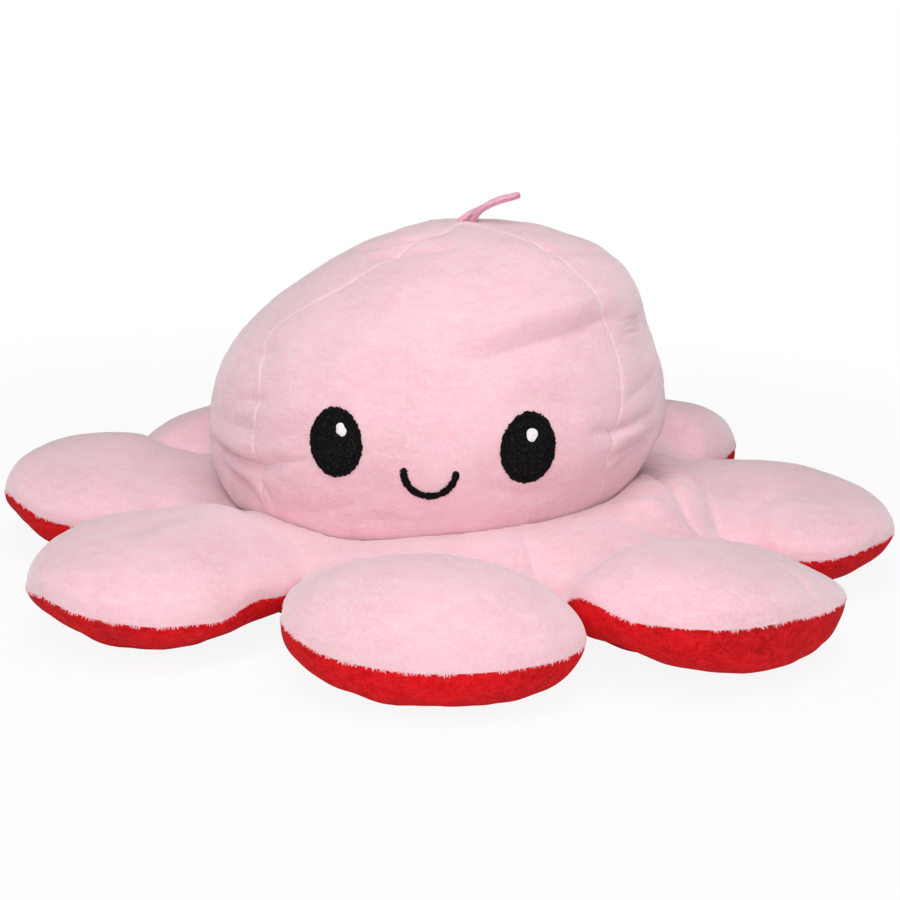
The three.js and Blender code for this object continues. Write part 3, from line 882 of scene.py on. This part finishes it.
def oval_patch(x, z, half_width, half_height, lift, height, ragged, rng):
    """A closed oval of stitches that follows the cloth, domed towards its middle."""
    sides = 72
    corner_count = 10
    corners = [1 + rng.uniform(-ragged, ragged) for _ in range(corner_count)]
    places = np.arange(sides + 1) / sides * corner_count
    edge = np.interp(places, np.arange(corner_count + 1), corners + corners[:1])
    # Rows run from the middle of the base out to the edge and back over the dome
    profile = [(0, 0.0), (0, 0.5), (0, 1.0), (0.6, 1.0), (0.85, 0.8), (1, 0.4), (1, 0.0)]
    rows = []
    for level, share in profile:
        row = []
        for i, reach in enumerate(edge):
            turn = math.tau * i / sides
            row.append(
                over_face(
                    x + half_width * share * reach * math.cos(turn),
                    z + half_height * share * reach * math.sin(turn),
                    lift + height * level,
                )
            )
        row[-1] = row[0]
        rows.append(row)
    mesh = sheet_mesh(np.array(rows))
    bmesh.ops.recalc_face_normals(mesh, faces=mesh.faces)
    return mesh


# Middle of each eye across and up, half-width and half-height, in mm, and the highlight's middle
eyes = {
    "left_eye": (-43.3, 71.1, 10.5, 13.3, -41.4, 76.4),
    "right_eye": (31.3, 71.5, 10.9, 13.8, 32.4, 76.6),
}
border_width = 2.1 * MM
border_places = 120
patch_inset = 1.2 * MM
for name, sizes in eyes.items():
    rng = random.Random(name)
    x, z, half_width, half_height, light_x, light_z = (size * MM for size in sizes)
    middle = [
        (
            x + (half_width - border_width / 2) * math.cos(math.tau * i / border_places),
            z + (half_height - border_width / 2) * math.sin(math.tau * i / border_places),
        )
        for i in range(border_places + 1)
    ]
    mesh = oval_patch(
        x, z, half_width - patch_inset, half_height - patch_inset, -0.2 * MM, 0.75 * MM, 0.0, rng
    )
    patch = add_piece(f"embroidered_{name}_patch", mesh, black_fill)
    mesh = satin_band(middle, border_width, True, rng)
    border = add_piece(f"embroidered_{name}_border", mesh, black_satin)
    mesh = oval_patch(light_x, light_z, 2.1 * MM, 2.3 * MM, 0.3 * MM, 0.9 * MM, 0.26, rng)
    highlight = add_piece(f"embroidered_{name}_highlight", mesh, white_satin)
    for piece, part in ((patch, "patch"), (border, "border"), (highlight, "highlight")):
        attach(piece, "head_and_skirt")
        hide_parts(f"{name}_{part}")

smile_places = [
    (-16.5, 64.3), (-16.3, 60.6), (-14.3, 56.8), (-11, 54.4), (-7, 53.5),
    (-3, 54.1), (0.5, 56.3), (3, 59.8), (3.8, 63.7),
]
smile_width = 2.8 * MM
mesh = satin_band(smooth_route(smile_places, 80) * MM, smile_width, False, random.Random("smile"))
smile = add_piece("embroidered_smile", mesh, black_satin)
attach(smile, "head_and_skirt")
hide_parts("smile")

# ---------------------------------------------------------------------------------------------
# Hanging loop. A 3 mm round braided cord, folded double, with both ends sewn in between the tips
# of the head panels. It stands a little and leans over to the right.
# ---------------------------------------------------------------------------------------------
cord_diameter = 3 * MM
crown = np.array([5, 0, 150])
loop_route = [
    [-2.9, 0, -3.6], [-2.7, 0.2, -2.6], [-1.1, 1.0, -1], [1.9, 2.2, 0.9], [4.7, 3.0, 2.3],
    [7.6, 3.4, 3.8], [11, 3.5, 5.8], [15, 3.4, 7.6], [19.2, 2.3, 8.8], [21.7, 0, 9.7],
    [18.8, -2.3, 9], [14.2, -3.4, 7.7], [9.9, -3.5, 5.8], [6.8, -3.0, 3.9], [4.9, -2.0, 1.9],
    [3.6, -1.0, -0.4], [3.3, 0, -2.3], [3.2, 0, -3.6],
]
cord_line = smooth_route(loop_route, 240)
walked = np.concatenate([[0], np.cumsum(np.linalg.norm(np.diff(cord_line, axis=0), axis=1))])
even = np.linspace(0, walked[-1], 241)
cord_line = (crown + np.stack([np.interp(even, walked, axis) for axis in cord_line.T], -1)) * MM

# The cord is a tube in relief: strands wind round it both ways, over and under each other
strands = 4
braid_pitch = 9 * MM
relief_share = 0.16
ring_steps = 32
ahead = np.gradient(cord_line, axis=0)
ahead /= np.linalg.norm(ahead, axis=1, keepdims=True)
side = Vector((0, 1, 0))
rings, braid_painted_shade = [], []
for point, way, place in zip(cord_line, ahead, even * MM):
    side = (side - Vector(way) * side.dot(Vector(way))).normalized()
    other = Vector(way).cross(side)
    ring, painted_shade_marks = [], []
    for step in range(ring_steps + 1):
        turn = math.tau * (step % ring_steps) / ring_steps
        twist = math.tau * place / braid_pitch
        one, two = (abs(math.sin(strands * (turn + s * twist))) for s in (1, -1))
        relief = max(one, two)
        radius = cord_diameter / 2 * (1 - relief_share + relief_share * relief)
        outward = side * math.cos(turn) + other * math.sin(turn)
        ring.append(np.array(Vector(point) + outward * radius))
        # Painted shade: the mark is low in the gaps and halved on the strands that wind the second way
        painted_shade_marks.append(relief if one > two else relief * 0.5)
    rings.append(ring)
    braid_painted_shade.append(painted_shade_marks)
mesh = sheet_mesh(np.array(rings), np.array(braid_painted_shade))
bmesh.ops.holes_fill(mesh, edges=[edge for edge in mesh.edges if edge.is_boundary], sides=0)
bmesh.ops.recalc_face_normals(mesh, faces=mesh.faces)

# Polyester braid: each strand is a bundle of fine threads. Shade is painted into its colour from the
# relief mark: darker down in the gaps between strands and on the strands that wind the second way, paler
# on the tops of the others.
pink_braid = new_material("pink_braid")
tree = pink_braid.node_tree
relief = add_node(tree, "ShaderNodeAttribute", attribute_name="mark")
place = add_node(tree, "ShaderNodeTexCoord").outputs["Object"]
threads = add_node(tree, "ShaderNodeTexNoise", {"Vector": place, "Scale": 1800.0, "Detail": 2.0})
strand_shade = add_node(
    tree,
    "ShaderNodeMapRange",
    {"Value": relief.outputs["Fac"], "From Min": 0.45, "From Max": 0.8},
    clamp=True,
)
colour = add_node(
    tree,
    "ShaderNodeMix",
    {0: strand_shade.outputs[0], 6: hex_colour("CF7396"), 7: hex_colour("FFDCE7")},
    data_type="RGBA",
)
bump = add_node(
    tree, "ShaderNodeBump", {"Height": threads.outputs[0], "Strength": 0.5, "Distance": 0.0003}
)
shader = add_node(
    tree,
    "ShaderNodeBsdfPrincipled",
    {
        "Base Color": colour.outputs[2],
        "Normal": bump.outputs[0],
        "Roughness": 0.7,
        "Specular IOR Level": 0.3,
        "Sheen Weight": 0.2,
    },
)
add_node(tree, "ShaderNodeOutputMaterial", {"Surface": shader.outputs[0]})

hang_loop = add_piece("braided_hang_loop", mesh, pink_braid)
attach(hang_loop, "head_and_skirt")
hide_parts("hang_loop")

# ---------------------------------------------------------------------------------------------
# Stage. A pale floor, soft studio light, and the camera at the photograph's place.
# ---------------------------------------------------------------------------------------------
white_floor = new_material("white_floor")
tree = white_floor.node_tree
paint = add_node(tree, "ShaderNodeBsdfDiffuse", {"Color": (0.92, 0.92, 0.92, 1)})
glow = add_node(tree, "ShaderNodeEmission", {"Color": (1, 1, 1, 1), "Strength": 1.0})
path = add_node(tree, "ShaderNodeLightPath")
place = add_node(tree, "ShaderNodeTexCoord").outputs["Object"]
away = add_node(tree, "ShaderNodeVectorMath", {0: place}, operation="LENGTH")
white_share = add_node(
    tree,
    "ShaderNodeMapRange",
    {"Value": away.outputs["Value"], "From Min": 0.25, "From Max": 0.6, "To Min": 0.9, "To Max": 1.0},
    clamp=True,
    interpolation_type="SMOOTHSTEP",
)
seen = add_node(
    tree,
    "ShaderNodeMath",
    {0: path.outputs["Is Camera Ray"], 1: white_share.outputs[0]},
    operation="MULTIPLY",
)
mixed = add_node(
    tree, "ShaderNodeMixShader", {0: seen.outputs[0], 1: paint.outputs[0], 2: glow.outputs[0]}
)
add_node(tree, "ShaderNodeOutputMaterial", {"Surface": mixed.outputs[0]})
floor_half = 30
floor_drop = 0.2 * MM
mesh = bmesh.new()
bmesh.ops.create_grid(mesh, x_segments=1, y_segments=1, size=floor_half)
bmesh.ops.translate(mesh, verts=mesh.verts, vec=(0, 0, -floor_drop))
floor_data = bpy.data.meshes.new("floor")
mesh.to_mesh(floor_data)
mesh.free()
floor_data.materials.append(white_floor)
floor = bpy.data.objects.new("floor", floor_data)
bpy.context.collection.objects.link(floor)

# Only the camera sees the white air. The toy has no metal or glass that would mirror it.
world = bpy.data.worlds.new("studio")
bpy.context.scene.world = world
world.use_nodes = True
tree = world.node_tree
tree.nodes.clear()
path = add_node(tree, "ShaderNodeLightPath")
air = add_node(
    tree,
    "ShaderNodeBackground",
    {"Color": (1, 1, 1, 1), "Strength": path.outputs["Is Camera Ray"]},
)
add_node(tree, "ShaderNodeOutputWorld", {"Surface": air.outputs[0]})

# Name, place and size in metres, and power in watts of each softbox. All of them face the head.
softboxes = [
    ("key", (-0.25, -1.2, 0.95), 1.0, 8.5),
    ("fill", (0.5, -1.3, 0.25), 0.9, 2.6),
    ("left", (-0.95, -0.8, 0.8), 0.7, 1.7),
    ("right", (0.95, -0.8, 0.8), 0.7, 1.9),
    ("top", (0, -0.2, 1.5), 1.2, 12.6),
    ("camera_side", (0, -1.45, 0.5), 0.6, 2.8),
]
light_target = Vector((0, 0, 0.06))
for name, place, size, power in softboxes:
    light = bpy.data.lights.new(name, "AREA")
    light.size = size
    light.energy = power
    lamp = bpy.data.objects.new(name, light)
    lamp.location = place
    lamp.rotation_euler = (light_target - Vector(place)).to_track_quat("-Z", "Y").to_euler()
    bpy.context.collection.objects.link(lamp)

# The camera's place, found by fitting it to the seams and the outline in the photograph
camera_distance = 711.4 * MM
camera_target = Vector((1.28, 0, 45.5)) * MM
camera_elevation = math.radians(14.98)
camera_azimuth = math.radians(-0.13)
camera_roll = math.radians(1.83)
focal_pixels = 1585.6
image_pixels = 900
sensor_width = 36

back = Vector(
    (
        math.sin(camera_azimuth) * math.cos(camera_elevation),
        -math.cos(camera_azimuth) * math.cos(camera_elevation),
        math.sin(camera_elevation),
    )
)
right = Vector((math.cos(camera_azimuth), math.sin(camera_azimuth), 0))
up = back.cross(right)
across_axis = right * math.cos(camera_roll) + up * math.sin(camera_roll)
up_axis = up * math.cos(camera_roll) - right * math.sin(camera_roll)
lens = bpy.data.cameras.new("camera")
lens.sensor_width = sensor_width
lens.sensor_fit = "HORIZONTAL"
lens.lens = focal_pixels / image_pixels * sensor_width
camera = bpy.data.objects.new("camera", lens)
turned = Matrix((across_axis, up_axis, back)).transposed().to_4x4()
camera.matrix_world = Matrix.Translation(camera_target + back * camera_distance) @ turned
bpy.context.collection.objects.link(camera)
bpy.context.scene.camera = camera
bpy.context.scene.view_settings.view_transform = "Standard"
